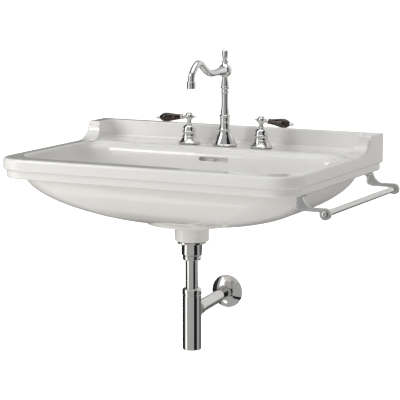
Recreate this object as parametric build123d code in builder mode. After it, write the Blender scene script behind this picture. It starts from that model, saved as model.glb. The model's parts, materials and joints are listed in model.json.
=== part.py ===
import os
from math import cos, radians, sin, sqrt

from build123d import *

os.makedirs("parts", exist_ok=True)

# Wall-hung washbasin with a three-hole tap, a bottle trap and a towel rail.
# Millimetres. The origin lies on the wall, midway between the two wall bolts.
# X runs along the wall, the basin stands out towards -Y, and Z points up.

# Basin, rim and backsplash
basin_width = 800.0
basin_depth = 550.0
deck_z = 36.0
rim_corner_r = 70.0
upper_band_h = 29.5
lower_band_h = 20.0
band_step = 8.0
rim_edge_r = 8.0
upper_band_lip_r = 6.0
lower_band_lip_r = 5.0
splash_h = 45.0
splash_t = 21.0
splash_draft = 4.0
splash_corner_r = 24.0
wing_t_top = 31.0
wing_t_root = 47.0
wing_length = 82.0
wing_bead_h = 9.0
wing_bead_step = 8.0
wing_scoop_length = 60.0

# Bowl
ledge_side = 34.0
ledge_front = 50.0
tap_deck_depth = 119.0
bowl_corner_r = 64.0
bowl_depth = 158.0
bowl_power = 2.45
bowl_back_slope = 26.0
bowl_back_slope_depth = 33.0
bowl_lip_r = 7.0
lip_steps = 5
shell_side_inset = 33.0
shell_front_inset = 44.0
shell_back_gap = 30.0
shell_corner_r = 68.0
shell_depth = 133.0
shell_power = 2.07
bowl_steps = 8
bowl_last_angle = 76.0

# Foot pad and waste boss under the bowl
drain_y = -267.0
pad_d = 236.0
pad_drop = 9.0
pad_slope_h = 13.0
boss_d = 86.0
boss_bottom = -215.8
boss_root_r = 12.0
boss_edge_r = 3.0

# Hollow under the tap deck, and the wall fixing
deck_t = 16.0
wall_flange_t = 18.0
hollow_half_width = 175.0
bolt_spacing = 280.0
bolt_hole_d = 14.0

# Overflow
overflow_width = 85.0
overflow_height = 11.0
overflow_drop = 28.0
overflow_bore = 12.0
overflow_rib_t = 32.0

# Waste
waste_hole_d = 46.0
waste_tube_d = 41.9
waste_bore = 36.0
waste_flange_d = 64.0
waste_flange_t = 3.0
waste_seal_t = 2.0
waste_seat_d = 68.0
waste_slot_width = 7.0
waste_slot_height = 15.0
waste_slot_drop = 12.0
spider_drop = 20.0
spider_t = 4.0
spider_arm_width = 4.0
spider_hub_d = 12.0
back_seal_t = 2.0
waste_nut_flange_d = 72.0
waste_nut_flange_t = 4.5
waste_nut_d = 51.5
waste_nut_h = 35.0
waste_nut_notches = 6
waste_notch_width = 9.0
waste_notch_depth = 5.0
thread_gap = 0.15

# Click plug
plug_d = 60.0
plug_t = 5.0
plug_dome = 3.0
plug_lift = 8.0
plug_stem_d = 8.0
plug_stem_l = 21.0
plug_gap = 0.05
plug_rest_gap = 0.3
cartridge_d = 16.0
cartridge_l = 16.0
cartridge_spigot_d = 8.0

# Trap
tail_d = 32.0
tube_wall = 1.5
tail_nut_d = 45.5
tail_nut_h = 11.0
tail_gap = 0.1
trap_nut_d = 48.0
trap_nut_top = -336.0
trap_nut_h = 16.0
bottle_d = 47.0
bottle_groove = 2.0
bottle_groove_d = 43.0
bottle_bottom = -492.0
bottle_wall = 2.0
dip_clearance = 40.0
outlet_z = -396.0
outlet_turn = 6.5
outlet_flare_d = 45.0
outlet_stub_d = 36.0
outlet_stub_l = 32.0
cap_h = 12.0
cap_slot_width = 4.0
cap_slot_depth = 3.0
seal_t = 2.0
flange_d = 87.0
flange_dome_h = 15.0
flange_collar_d = 40.0
flange_collar_l = 14.0
flange_wall = 1.6
flange_slide_gap = 0.1

# Tap positions
tap_y = -80.0
tap_spacing = 102.0
tap_hole_d = 34.0
gasket_t = 1.0

# Spout
column_base_d = 62.6
swivel_z = 153.0
swivel_pin_d = 10.0
swivel_pin_l = 18.0
swivel_gap = 0.05
hub_z = 192.5
hub_d = 34.0
spout_d = 16.4
spout_bore = 11.0
spout_reach = 190.0
spout_outlet_z = 161.5
nozzle_d = 21.3
nozzle_h = 17.5
aerator_h = 6.5
finial_root_z = 212.0
finial_top_z = 245.5
shank_d = 28.0
shank_l = 62.0
shank_bore = 12.0
inlet_d = 20.9
inlet_l = 16.0
clamp_washer_d = 46.0
clamp_washer_t = 2.0
lock_nut_af = 41.0
lock_nut_h = 8.0
rubber_t = 3.0

# Valves and handles
bell_d = 57.0
bell_h = 49.0
bell_neck_d = 15.0
valve_bore = 22.0
spindle_d = 8.0
stem_d = 12.0
handle_gap = 0.6
handle_hub_z = 70.0
handle_hub_d = 21.0
handle_cap_d = 14.5
handle_cap_top = 80.0
stub_reach = 20.0
lever_turn = 4.0
lever_droop = 3.6
collar_start = 9.0
collar_end = 22.5
collar_d = 13.6
lever_end = 82.0
lever_max_d = 23.5
lever_tip_d = 8.0
lever_tip_end = 92.5
lever_rod_d = 4.0

# Towel rail under the right side of the rim
rail_offset = 48.0
rail_drop = 86.0
rail_d = 14.5
rail_spigot_d = 9.0
rail_spigot_l = 5.0
rail_front_y = -485.5
rail_back_y = -46.5
rail_bracket_t = 9.0
rail_boss_d = 27.0
rail_root_width = 16.0
rail_arm_h = 9.0
rail_root_h = 26.0
rail_screw_d = 5.0
rail_screw_l = 18.0
rail_cap_d = 15.0
rail_cap_h = 4.0
cap_thread_d = 5.0
cap_seat = 2.0
rail_tab_l = 24.0
rail_tab_t = 4.0
rail_screw_inset = 5.0
rail_screw_head_d = 9.0
rail_screw_head_h = 3.0

upwards = (Align.CENTER, Align.CENTER, Align.MIN)
downwards = (Align.CENTER, Align.CENTER, Align.MAX)


def upright_axis(x, y):
    """Vertical axis through (x, y)."""
    return Axis((x, y, 0), (0, 0, 1))


def upright_plane(x, y):
    """Profile plane for turned pieces: local x is the radius and local y is the height."""
    return Plane(origin=(x, y, 0), x_dir=(1, 0, 0), z_dir=(0, -1, 0))


def save(piece, name):
    """Label a finished piece and write it as its own node."""
    piece.part.label = name
    export_step(piece.part, f"parts/{name}.step")


def ring(centres, outer_d, inner_d, bottom, height):
    """Flat ring, or several alike, standing on the height called bottom."""
    with BuildPart() as piece:
        with BuildSketch(Plane.XY.offset(bottom)):
            with Locations(*centres):
                Circle(outer_d / 2)
                Circle(inner_d / 2, mode=Mode.SUBTRACT)
        extrude(amount=height)
    return piece


def bowl_section(angle, top, depth, half_width, front, back, corner, power, back_slope):
    """One level of a bowl: height, half width, front edge, back edge and corner radius."""
    across = cos(radians(angle)) ** (2 / power)
    down = sin(radians(angle)) ** (2 / power)
    slope = back_slope * min(1, depth * down / bowl_back_slope_depth)
    front_y = drain_y + (front - drain_y) * across
    back_y = drain_y + (back - drain_y - slope) * across
    half_depth = 0.485 * (back_y - front_y)
    radius = min(corner * across + (half_depth - corner * across) * down**1.5, half_depth)
    return top - depth * down, half_width * across, front_y, back_y, radius


def bowl_solid(*shape):
    """Bowl shape lofted through rounded rectangles from the rim down to the drain."""
    with BuildPart() as solid:
        for step in range(bowl_steps + 1):
            angle = bowl_last_angle * step / bowl_steps
            height, half_width, front_y, back_y, radius = bowl_section(angle, *shape)
            with BuildSketch(Plane.XY.offset(height)):
                with Locations((0, (front_y + back_y) / 2)):
                    RectangleRounded(2 * half_width, back_y - front_y, radius)
        loft()
    return solid


# ---- basin ----

upper_bottom = deck_z - upper_band_h
lower_bottom = upper_bottom - lower_band_h
splash_top = deck_z + splash_h
wing_end = -(wing_length + wing_bead_step + wing_scoop_length)
bead_bottom = splash_top - wing_bead_h
boss_end = deck_z + boss_bottom
floor_z = deck_z - bowl_depth * sin(radians(bowl_last_angle)) ** (2 / bowl_power)
shell_top = lower_bottom + 8
shell_bottom = shell_top - shell_depth
pad_top = shell_bottom + pad_slope_h
rail_root_x = basin_width / 2 - band_step - rail_root_width / 2
bracket_spots = (("front", rail_front_y, 1), ("back", rail_back_y, -1))
screw_out = rail_tab_l - rail_screw_inset
screw_spots = [(rail_root_x, y + inward * screw_out) for _, y, inward in bracket_spots]

bowl_inside = bowl_solid(
    deck_z, bowl_depth, basin_width / 2 - ledge_side, -(basin_depth - ledge_front),
    -tap_deck_depth, bowl_corner_r, bowl_power, bowl_back_slope,
)
bowl_outside = bowl_solid(
    shell_top, shell_depth, basin_width / 2 - shell_side_inset, -(basin_depth - shell_front_inset),
    -shell_back_gap, shell_corner_r, shell_power, 0,
)

# rounded lip between the rim and the bowl
with BuildPart() as bowl_lip:
    for step in range(lip_steps + 1):
        turn = radians(90 * step / lip_steps)
        out = bowl_lip_r * (1 - sin(turn))
        drop = bowl_lip_r * (1 - cos(turn))
        front_y = -(basin_depth - ledge_front) - out
        back_y = out - tap_deck_depth - bowl_back_slope * drop / bowl_back_slope_depth
        with BuildSketch(Plane.XY.offset(deck_z - drop)):
            with Locations((0, (front_y + back_y) / 2)):
                RectangleRounded(basin_width + 2 * (out - ledge_side), back_y - front_y, bowl_corner_r + out)
    loft(ruled=True)

with BuildPart() as basin:
    # upper band of the rim
    with BuildSketch(Plane.XY.offset(deck_z)) as upper_outline:
        Rectangle(basin_width, basin_depth, align=(Align.CENTER, Align.MAX))
        fillet(upper_outline.vertices().group_by(Axis.Y)[0], rim_corner_r)
    extrude(amount=-upper_band_h)
    # backsplash and its scooped ends, as one side profile
    with BuildSketch(Plane.YZ.offset(-basin_width / 2)):
        with BuildLine():
            Polyline(
                (wing_end, deck_z), (wing_end, upper_bottom + 1), (0, upper_bottom + 1), (0, splash_top),
                (-wing_length, splash_top), (-wing_length, bead_bottom),
                (-wing_length - wing_bead_step, bead_bottom),
            )
            EllipticalCenterArc(
                (wing_end, bead_bottom), wing_scoop_length, bead_bottom - deck_z,
                start_angle=270, arc_size=90,
            )
        make_face()
    extrude(amount=basin_width)
    # recess between the two ends, drafted to the front and the sides
    with BuildSketch(Plane.XY.offset(deck_z)):
        with Locations((0, -splash_t - splash_draft)):
            RectangleRounded(
                basin_width - 2 * wing_t_root, 2 * basin_depth, splash_corner_r - splash_draft,
                align=(Align.CENTER, Align.MAX),
            )
    with BuildSketch(Plane.XY.offset(splash_top + 0.01)):
        with Locations((0, -splash_t)):
            RectangleRounded(
                basin_width - 2 * wing_t_top, 2 * basin_depth + splash_draft, splash_corner_r,
                align=(Align.CENTER, Align.MAX),
            )
    loft(mode=Mode.SUBTRACT)
    # rounded outer edge along the deck and up over the scooped ends
    deck_edge = basin.edges().filter_by(
        lambda edge: edge.center().Z < bead_bottom
        and edge.center().Z > deck_z - 1
        and (abs(edge.center().X) > basin_width / 2 - 1 or edge.center().Y < rim_corner_r - basin_depth)
        and edge.center().Y < -1
    )
    fillet(deck_edge, rim_edge_r)
    fillet(basin.edges().group_by(Axis.Z)[0].filter_by(lambda edge: edge.center().Y < -1), upper_band_lip_r)
    # lower band of the rim
    with BuildSketch(Plane.XY.offset(upper_bottom)) as lower_outline:
        Rectangle(basin_width - 2 * band_step, basin_depth - band_step, align=(Align.CENTER, Align.MAX))
        fillet(lower_outline.vertices().group_by(Axis.Y)[0], rim_corner_r - band_step)
    extrude(amount=-lower_band_h)
    fillet(basin.edges().group_by(Axis.Z)[0].filter_by(lambda edge: edge.center().Y < -1), lower_band_lip_r)
    # top edges of the backsplash
    fillet(basin.edges().group_by(Axis.Z)[-1].filter_by(lambda edge: edge.center().Y < -1), 3)
    # bowl from below, foot pad and waste boss
    add(bowl_outside.part)
    with BuildSketch(upright_plane(0, drain_y)):
        with BuildLine():
            pad_edge = Line((0, pad_top + 30), (pad_d / 2 - 14, pad_top + 30))
            pad_side = Line(pad_edge @ 1, (pad_d / 2, pad_top - 1))
            pad_lip = Line(pad_side @ 1, (pad_d / 2 - 7, pad_top - pad_drop))
            pad_floor = Line(pad_lip @ 1, (boss_d / 2, pad_top - pad_drop - pad_slope_h / 2))
            boss_side = Line(pad_floor @ 1, (boss_d / 2, boss_end))
            Line(boss_side @ 1, (0, boss_end))
            Line((0, boss_end), pad_edge @ 0)
        make_face()
    revolve(axis=upright_axis(0, drain_y))
    boss_foot = basin.edges().filter_by(GeomType.CIRCLE).filter_by(
        lambda edge: abs(edge.radius - boss_d / 2) < 0.1
    )
    fillet(boss_foot.sort_by(Axis.Z)[-1], boss_root_r)
    fillet(basin.edges().group_by(Axis.Z)[0], boss_edge_r)
    # hollow under the tap deck, open downwards
    with BuildSketch(Plane.YZ.offset(-hollow_half_width)):
        with BuildLine():
            Polyline(
                (-wall_flange_t, deck_z - deck_t),
                (-tap_deck_depth + 15, deck_z - deck_t),
                (-tap_deck_depth - 10, deck_z - deck_t - bowl_back_slope),
                (-tap_deck_depth - 27, deck_z - 88),
                (-tap_deck_depth - 27, boss_end),
                (-wall_flange_t, boss_end),
                close=True,
            )
        make_face()
    extrude(amount=2 * hollow_half_width, mode=Mode.SUBTRACT)
    # rib that carries the overflow channel down behind the bowl
    with BuildSketch(Plane.YZ.offset(-overflow_rib_t / 2)):
        with BuildLine():
            Polyline(
                (-tap_deck_depth + 1, deck_z - 18), (-tap_deck_depth + 1, deck_z - 110),
                (-tap_deck_depth - 30, deck_z - 130), (-tap_deck_depth - 60, deck_z - 130),
                (-tap_deck_depth - 60, deck_z - 18), close=True,
            )
        make_face()
    extrude(amount=overflow_rib_t)
    # inside of the bowl
    add(bowl_inside.part, mode=Mode.SUBTRACT)
    add(bowl_lip.part, mode=Mode.SUBTRACT)
    # seat and hole for the waste
    with Locations((0, drain_y, floor_z + 1)):
        Cylinder(waste_seat_d / 2, waste_seal_t + 1, align=downwards,
                 mode=Mode.SUBTRACT)
        Cylinder(waste_hole_d / 2, floor_z + 2 - boss_end, align=downwards,
                 mode=Mode.SUBTRACT)
    # overflow slot and the channel from it to the waste hole
    overflow_z = deck_z - overflow_drop
    channel_y = -tap_deck_depth - 16
    with BuildSketch(Plane.XZ.offset(tap_deck_depth + 12)):
        with Locations((0, overflow_z)):
            SlotOverall(overflow_width, overflow_height)
    extrude(amount=30, mode=Mode.SUBTRACT)
    with BuildLine():
        FilletPolyline(
            (0, channel_y, overflow_z), (0, channel_y, overflow_z - 80),
            (0, drain_y + 42, floor_z - 11), (0, drain_y + 12, floor_z - 14), radius=18,
        )
    with BuildSketch(Plane.XY.offset(overflow_z)):
        with Locations((0, channel_y)):
            Circle(overflow_bore / 2)
    sweep(mode=Mode.SUBTRACT)
    # tap holes
    with Locations((0, tap_y, deck_z - deck_t / 2)):
        with GridLocations(tap_spacing, 1, 3, 1):
            Cylinder(tap_hole_d / 2, deck_t + 2, mode=Mode.SUBTRACT)
    # pilot holes for the towel rail's fixing screws
    with BuildSketch(Plane.XY.offset(lower_bottom)):
        with Locations(*screw_spots):
            Circle(rail_screw_d / 2 + 0.1)
    extrude(amount=rail_screw_l, mode=Mode.SUBTRACT)
    # wall-bolt holes
    with BuildSketch(Plane.XZ):
        with Locations((-bolt_spacing / 2, 0), (bolt_spacing / 2, 0)):
            Circle(bolt_hole_d / 2)
    extrude(amount=wall_flange_t + 1, mode=Mode.SUBTRACT)
save(basin, "basin")

# ---- waste ----

drain = (0, drain_y)
waste_tube_end = boss_end - back_seal_t - waste_nut_h - tail_nut_h + 5
spider_z = floor_z - spider_drop
nut_top = boss_end - back_seal_t

with BuildPart() as waste_body:
    with BuildSketch(upright_plane(*drain)):
        with BuildLine():
            Polyline(
                (waste_bore / 2, waste_tube_end), (waste_tube_d / 2, waste_tube_end),
                (waste_tube_d / 2, floor_z), (waste_flange_d / 2, floor_z),
                (waste_flange_d / 2, floor_z + 1),
            )
            ThreePointArc(
                (waste_flange_d / 2, floor_z + 1), (waste_flange_d / 2 - 4, floor_z + waste_flange_t - 0.4),
                (waste_flange_d / 2 - 10, floor_z + waste_flange_t),
            )
            Polyline(
                (waste_flange_d / 2 - 10, floor_z + waste_flange_t), (waste_bore / 2 + 3, floor_z + 1),
                (waste_bore / 2, floor_z - 3), (waste_bore / 2, waste_tube_end),
            )
        make_face()
    revolve(axis=upright_axis(*drain))
    # overflow slots
    with Locations((0, drain_y, floor_z - waste_slot_drop - waste_slot_height / 2)):
        Box(waste_tube_d + 2, waste_slot_width, waste_slot_height, mode=Mode.SUBTRACT)
        Box(waste_slot_width, waste_tube_d + 2, waste_slot_height, mode=Mode.SUBTRACT)
    # cross bar with the threaded hub of the plug
    with BuildSketch(Plane.XY.offset(spider_z - spider_t)):
        with Locations(drain):
            Circle(spider_hub_d / 2)
            Rectangle(waste_bore + 1, spider_arm_width, rotation=45)
            Rectangle(waste_bore + 1, spider_arm_width, rotation=-45)
    extrude(amount=spider_t)
    with Locations((0, drain_y, spider_z)):
        Cylinder(cartridge_spigot_d / 2, 3 * spider_t, mode=Mode.SUBTRACT)
save(waste_body, "waste_body")

save(
    ring([drain], waste_flange_d - 4, waste_hole_d - 2, floor_z - waste_seal_t, waste_seal_t),
    "waste_top_seal",
)
save(ring([drain], waste_nut_flange_d - 6, waste_tube_d + 0.4, nut_top, back_seal_t), "waste_back_seal")

with BuildPart() as waste_nut:
    with BuildSketch(upright_plane(*drain)):
        with BuildLine():
            Polyline(
                (waste_tube_d / 2 + thread_gap, nut_top), (waste_nut_flange_d / 2, nut_top),
                (waste_nut_flange_d / 2, nut_top - waste_nut_flange_t),
                (waste_nut_d / 2, nut_top - waste_nut_flange_t - 1),
                (waste_nut_d / 2, nut_top - waste_nut_h + 4),
            )
            ThreePointArc(
                (waste_nut_d / 2, nut_top - waste_nut_h + 4),
                (waste_nut_d / 2 - 1.2, nut_top - waste_nut_h + 1.2),
                (waste_nut_d / 2 - 4, nut_top - waste_nut_h),
            )
            Polyline(
                (waste_nut_d / 2 - 4, nut_top - waste_nut_h),
                (waste_tube_d / 2 + thread_gap, nut_top - waste_nut_h),
                (waste_tube_d / 2 + thread_gap, nut_top),
            )
        make_face()
    revolve(axis=upright_axis(*drain))
    with Locations((0, drain_y, nut_top - waste_nut_flange_t / 2)):
        with PolarLocations(waste_nut_flange_d / 2, waste_nut_notches):
            Box(2 * waste_notch_depth, waste_notch_width, waste_nut_flange_t + 1, mode=Mode.SUBTRACT)
save(waste_nut, "waste_nut")

# ---- click plug ----

plug_under = floor_z + waste_flange_t + plug_rest_gap + plug_lift
cartridge_top = spider_z + cartridge_l

with BuildPart() as waste_plug:
    with BuildSketch(upright_plane(*drain)):
        with BuildLine():
            Line((0, plug_under - plug_stem_l), (plug_stem_d / 2, plug_under - plug_stem_l))
            Polyline(
                (plug_stem_d / 2, plug_under - plug_stem_l), (plug_stem_d / 2, plug_under - 2),
                (waste_bore / 2 - 2, plug_under - 2), (waste_bore / 2 - 2, plug_under),
                (plug_d / 2 - 1, plug_under), (plug_d / 2, plug_under + 1),
                (plug_d / 2, plug_under + plug_t - plug_dome),
            )
            RadiusArc(
                (0, plug_under + plug_t), (plug_d / 2, plug_under + plug_t - plug_dome),
                (plug_d**2 / 4 + plug_dome**2) / (2 * plug_dome),
            )
            Line((0, plug_under + plug_t), (0, plug_under - plug_stem_l))
        make_face()
    revolve(axis=upright_axis(*drain))
save(waste_plug, "waste_plug")

save(ring([drain], waste_bore + 4, waste_bore - 4, plug_under - seal_t, seal_t), "plug_seal")

with BuildPart() as plug_cartridge:
    with BuildSketch(Plane.XY.offset(spider_z)):
        with Locations(drain):
            Circle(cartridge_d / 2)
    extrude(amount=cartridge_l)
    with BuildSketch(Plane.XY.offset(spider_z - spider_t - 1)):
        with Locations(drain):
            Circle(cartridge_spigot_d / 2)
    extrude(amount=spider_t + 1)
    with Locations((0, drain_y, cartridge_top)):
        Cylinder(plug_stem_d / 2 + plug_gap, 2 * (cartridge_l - 1), mode=Mode.SUBTRACT)
save(plug_cartridge, "plug_cartridge")

# ---- trap ----

tail_nut_top = nut_top - waste_nut_h - 0.5
tail_nut_bottom = tail_nut_top - tail_nut_h
trap_nut_z = deck_z + trap_nut_top
bottle_top = trap_nut_z - trap_nut_h
bottle_floor = deck_z + bottle_bottom
outlet_height = deck_z + outlet_z
tail_end = bottle_floor + dip_clearance
tail_top = waste_tube_end - 0.5

with BuildPart() as tail_nut:
    with BuildSketch(upright_plane(*drain)):
        with BuildLine():
            Polyline(
                (tail_d / 2 + tail_gap, tail_nut_bottom), (tail_nut_d / 2 - 1.5, tail_nut_bottom),
                (tail_nut_d / 2, tail_nut_bottom + 1.5), (tail_nut_d / 2, tail_nut_top),
                (waste_tube_d / 2 + thread_gap, tail_nut_top),
                (waste_tube_d / 2 + thread_gap, waste_tube_end - seal_t - 0.5),
                (tail_d / 2 + tail_gap, waste_tube_end - seal_t - 0.5), close=True,
            )
        make_face()
    revolve(axis=upright_axis(*drain))
save(tail_nut, "tail_nut")

save(
    ring([drain], waste_tube_d - 0.4, tail_d + tail_gap, waste_tube_end - seal_t - 0.4, seal_t),
    "tail_seal",
)

with BuildPart() as tail_tube:
    with BuildSketch(Plane.XY.offset(tail_end)):
        with Locations(drain):
            Circle(tail_d / 2)
            Circle(tail_d / 2 - tube_wall, mode=Mode.SUBTRACT)
    extrude(amount=tail_top - tail_end + 8)
save(tail_tube, "tail_tube")

with BuildPart() as trap_nut:
    with BuildSketch(upright_plane(*drain)):
        with BuildLine():
            Polyline(
                (tail_d / 2 + tail_gap, trap_nut_z), (tail_d / 2 + 3, trap_nut_z),
                (trap_nut_d / 2 - 1.5, trap_nut_z - 1), (trap_nut_d / 2, trap_nut_z - 3),
                (trap_nut_d / 2, bottle_top), (bottle_groove_d / 2, bottle_top),
                (bottle_groove_d / 2, bottle_top + 8), (tail_d / 2 + tail_gap, bottle_top + 8), close=True,
            )
        make_face()
    revolve(axis=upright_axis(*drain))
save(trap_nut, "trap_top_nut")

save(
    ring([drain], bottle_groove_d - 2 * bottle_wall, tail_d + tail_gap, bottle_top + 8 - seal_t, seal_t),
    "trap_top_seal",
)

# the outlet leaves level, turned a little to one side
outlet_plane = Plane(
    origin=(0, drain_y, outlet_height),
    x_dir=(cos(radians(outlet_turn)), sin(radians(outlet_turn)), 0),
    z_dir=(-sin(radians(outlet_turn)), cos(radians(outlet_turn)), 0),
)
pipe_length = -drain_y / cos(radians(outlet_turn))
stub_end = bottle_d / 2 + outlet_stub_l
seal_start = stub_end - 8
seal_groove_r = outlet_stub_d / 2 - 0.8
outlet_wall_x = drain_y * sin(radians(outlet_turn)) / cos(radians(outlet_turn))

with BuildPart() as trap_body:
    with BuildSketch(upright_plane(*drain)):
        with BuildLine():
            Polyline(
                (0, bottle_floor + cap_h), (0, bottle_floor), (bottle_d / 2 - 2, bottle_floor),
                (bottle_d / 2, bottle_floor + 2), (bottle_d / 2, bottle_top - bottle_groove),
                (bottle_groove_d / 2 - thread_gap, bottle_top - bottle_groove),
                (bottle_groove_d / 2 - thread_gap, bottle_top + 8 - seal_t - 0.1),
                (bottle_groove_d / 2 - bottle_wall - 0.5, bottle_top + 8 - seal_t - 0.1),
                (0, bottle_top + 8 - seal_t - 0.1), close=True,
            )
        make_face()
    revolve(axis=upright_axis(*drain))
    with BuildSketch(outlet_plane.offset(bottle_d / 2 - 6)):
        Circle(outlet_flare_d / 2)
    with BuildSketch(outlet_plane.offset(bottle_d / 2 + outlet_stub_l / 2)):
        Circle(outlet_stub_d / 2)
    loft()
    with BuildSketch(outlet_plane):
        Circle(outlet_stub_d / 2)
    extrude(amount=stub_end)
    # inside of the bottle and of the stub
    with Locations((0, drain_y, bottle_floor - 1)):
        Cylinder(
            bottle_d / 2 - bottle_wall, bottle_top - bottle_groove - 1 - bottle_floor,
            align=upwards, mode=Mode.SUBTRACT,
        )
    with Locations((0, drain_y, bottle_floor + cap_h)):
        Cylinder(
            bottle_groove_d / 2 - thread_gap - bottle_wall, bottle_top + 10 - bottle_floor - cap_h,
            align=upwards, mode=Mode.SUBTRACT,
        )
    with BuildSketch(outlet_plane):
        Circle(tail_d / 2 + tail_gap)
    extrude(amount=stub_end + 1, mode=Mode.SUBTRACT)
    with BuildSketch(outlet_plane.offset(seal_start - 0.1)):
        Circle(seal_groove_r)
    extrude(amount=seal_t + 0.2, mode=Mode.SUBTRACT)
save(trap_body, "trap_body")

with BuildPart() as trap_cap:
    with BuildSketch(Plane.XY.offset(bottle_floor)):
        with Locations(drain):
            Circle(bottle_d / 2 - bottle_wall - thread_gap)
    extrude(amount=cap_h)
    with BuildSketch(Plane.XY.offset(bottle_floor + cap_slot_depth + 2)):
        with Locations(drain):
            Circle(bottle_d / 2 - 2 * bottle_wall - 2)
    extrude(amount=cap_h, mode=Mode.SUBTRACT)
    with Locations((0, drain_y, bottle_floor)):
        Box(bottle_d / 2, cap_slot_width, 2 * cap_slot_depth, mode=Mode.SUBTRACT)
save(trap_cap, "trap_bottom_cap")

save(
    ring([drain], bottle_d - 2 * bottle_wall - 0.3, tail_d + 3, bottle_floor + cap_h + 0.1, seal_t),
    "trap_cap_seal",
)

pipe_start = bottle_d / 2 + 1
with BuildPart() as outlet_pipe:
    with BuildSketch(outlet_plane.offset(pipe_start)):
        Circle(tail_d / 2)
        Circle(tail_d / 2 - tube_wall, mode=Mode.SUBTRACT)
    extrude(amount=pipe_length - pipe_start)
    # trimmed flush with the wall
    with Locations((outlet_wall_x, 0, outlet_height)):
        Box(2 * tail_d, 20, 2 * tail_d, align=(Align.CENTER, Align.MIN, Align.CENTER), mode=Mode.SUBTRACT)
save(outlet_pipe, "outlet_pipe")

# dished rosette on the wall, its collar following the pipe
collar_plane = outlet_plane.offset(pipe_length - flange_dome_h - flange_collar_l + 2)
rim_in = flange_d / 2 - flange_wall
with BuildPart() as wall_flange:
    with BuildSketch(Plane(origin=(outlet_wall_x, 0, outlet_height), x_dir=(1, 0, 0), z_dir=(0, 0, 1))):
        with BuildLine():
            outer_arc = ThreePointArc(
                (flange_d / 2, -1), (0.7 * flange_d / 2, -0.55 * flange_dome_h), (0, -flange_dome_h)
            )
            Line(outer_arc @ 1, (0, flange_wall - flange_dome_h))
            inner_arc = ThreePointArc(
                (0, flange_wall - flange_dome_h), (0.7 * rim_in, flange_wall - 0.55 * flange_dome_h),
                (rim_in, 0),
            )
            Polyline(inner_arc @ 1, (flange_d / 2, 0), outer_arc @ 0)
        make_face()
    revolve(axis=Axis((outlet_wall_x, 0, outlet_height), (0, 1, 0)))
    with BuildSketch(collar_plane):
        Circle(flange_collar_d / 2)
    extrude(amount=flange_collar_l + 4)
    with BuildSketch(collar_plane.offset(-1)):
        Circle(tail_d / 2 + flange_slide_gap)
    extrude(amount=flange_collar_l + flange_dome_h + 10, mode=Mode.SUBTRACT)
save(wall_flange, "wall_flange")

with BuildPart() as outlet_seal:
    with BuildSketch(outlet_plane.offset(seal_start)):
        Circle(seal_groove_r - 0.1)
        Circle(tail_d / 2 + tail_gap, mode=Mode.SUBTRACT)
    extrude(amount=seal_t)
save(outlet_seal, "outlet_seal")

# ---- tap: spout ----

spout_at = (0, tap_y)
deck_underside = deck_z - deck_t
shank_end = deck_z - shank_l
stub_z = shank_end + 10
shank_hold = deck_z + 24


def turned(centre, outline):
    """Piece turned about the vertical axis through centre; outline is radius and height above the deck."""
    with BuildPart() as piece:
        with BuildSketch(upright_plane(*centre)):
            with BuildLine():
                Polyline([(radius, deck_z + height) for radius, height in outline], close=True)
            make_face()
        revolve(axis=upright_axis(*centre))
    return piece


with BuildPart() as spout_column:
    with BuildSketch(upright_plane(*spout_at)):
        with BuildLine():
            foot = Polyline(
                (swivel_pin_d / 2 + swivel_gap, deck_z + 26), (shank_d / 2 + thread_gap, deck_z + 24),
                (shank_d / 2 + thread_gap, deck_z + 12), (22, deck_z + 8), (24, deck_z + gasket_t),
                (column_base_d / 2 - 1, deck_z + gasket_t), (column_base_d / 2, deck_z + gasket_t + 1),
                (column_base_d / 2, deck_z + 5), (column_base_d / 2 - 1.5, deck_z + 6.5),
                (column_base_d / 2 - 3, deck_z + 6.5),
            )
            bell_curve = Spline(
                foot @ 1, (24.9, deck_z + 16.5), (19.6, deck_z + 27.5), (15.2, deck_z + 38),
                tangents=((-0.25, 1), (-0.25, 1)),
            )
            ring_low = Polyline(bell_curve @ 1, (15.2, deck_z + 40))
            bead_low = ThreePointArc(ring_low @ 1, (16.2, deck_z + 42), (15.2, deck_z + 44))
            vase = Spline(
                bead_low @ 1, (13.2, deck_z + 50), (12.4, deck_z + 60), tangents=((-0.5, 1), (0, 1))
            )
            bead_mid = ThreePointArc(vase @ 1, (13.2, deck_z + 61.5), (12.4, deck_z + 63))
            drum = Line(bead_mid @ 1, (12.4, deck_z + 73.5))
            bead_high = ThreePointArc(drum @ 1, (13.8, deck_z + 76.5), (12.0, deck_z + 79.5))
            neck = Polyline(bead_high @ 1, (9.3, deck_z + 81), (9.3, deck_z + 82.5), (10.8, deck_z + 84))
            taper = Spline(
                neck @ 1, (8.7, deck_z + 98), (8.2, deck_z + 118), (8.2, deck_z + 135),
                tangents=((-0.15, 1), (0, 1)),
            )
            bead_slim = ThreePointArc(taper @ 1, (9.4, deck_z + 138.5), (7.9, deck_z + 142))
            top_neck = Polyline(bead_slim @ 1, (7.9, deck_z + 145))
            crown = ThreePointArc(top_neck @ 1, (10.8, deck_z + 149.5), (9.4, deck_z + swivel_z))
            Polyline(
                crown @ 1, (swivel_pin_d / 2 + swivel_gap, deck_z + swivel_z),
                (swivel_pin_d / 2 + swivel_gap, deck_z + 26),
            )
        make_face()
    revolve(axis=upright_axis(*spout_at))
save(spout_column, "spout_column")

save(ring([spout_at], column_base_d - 6, tap_hole_d, deck_z, gasket_t), "spout_base_gasket")

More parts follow.
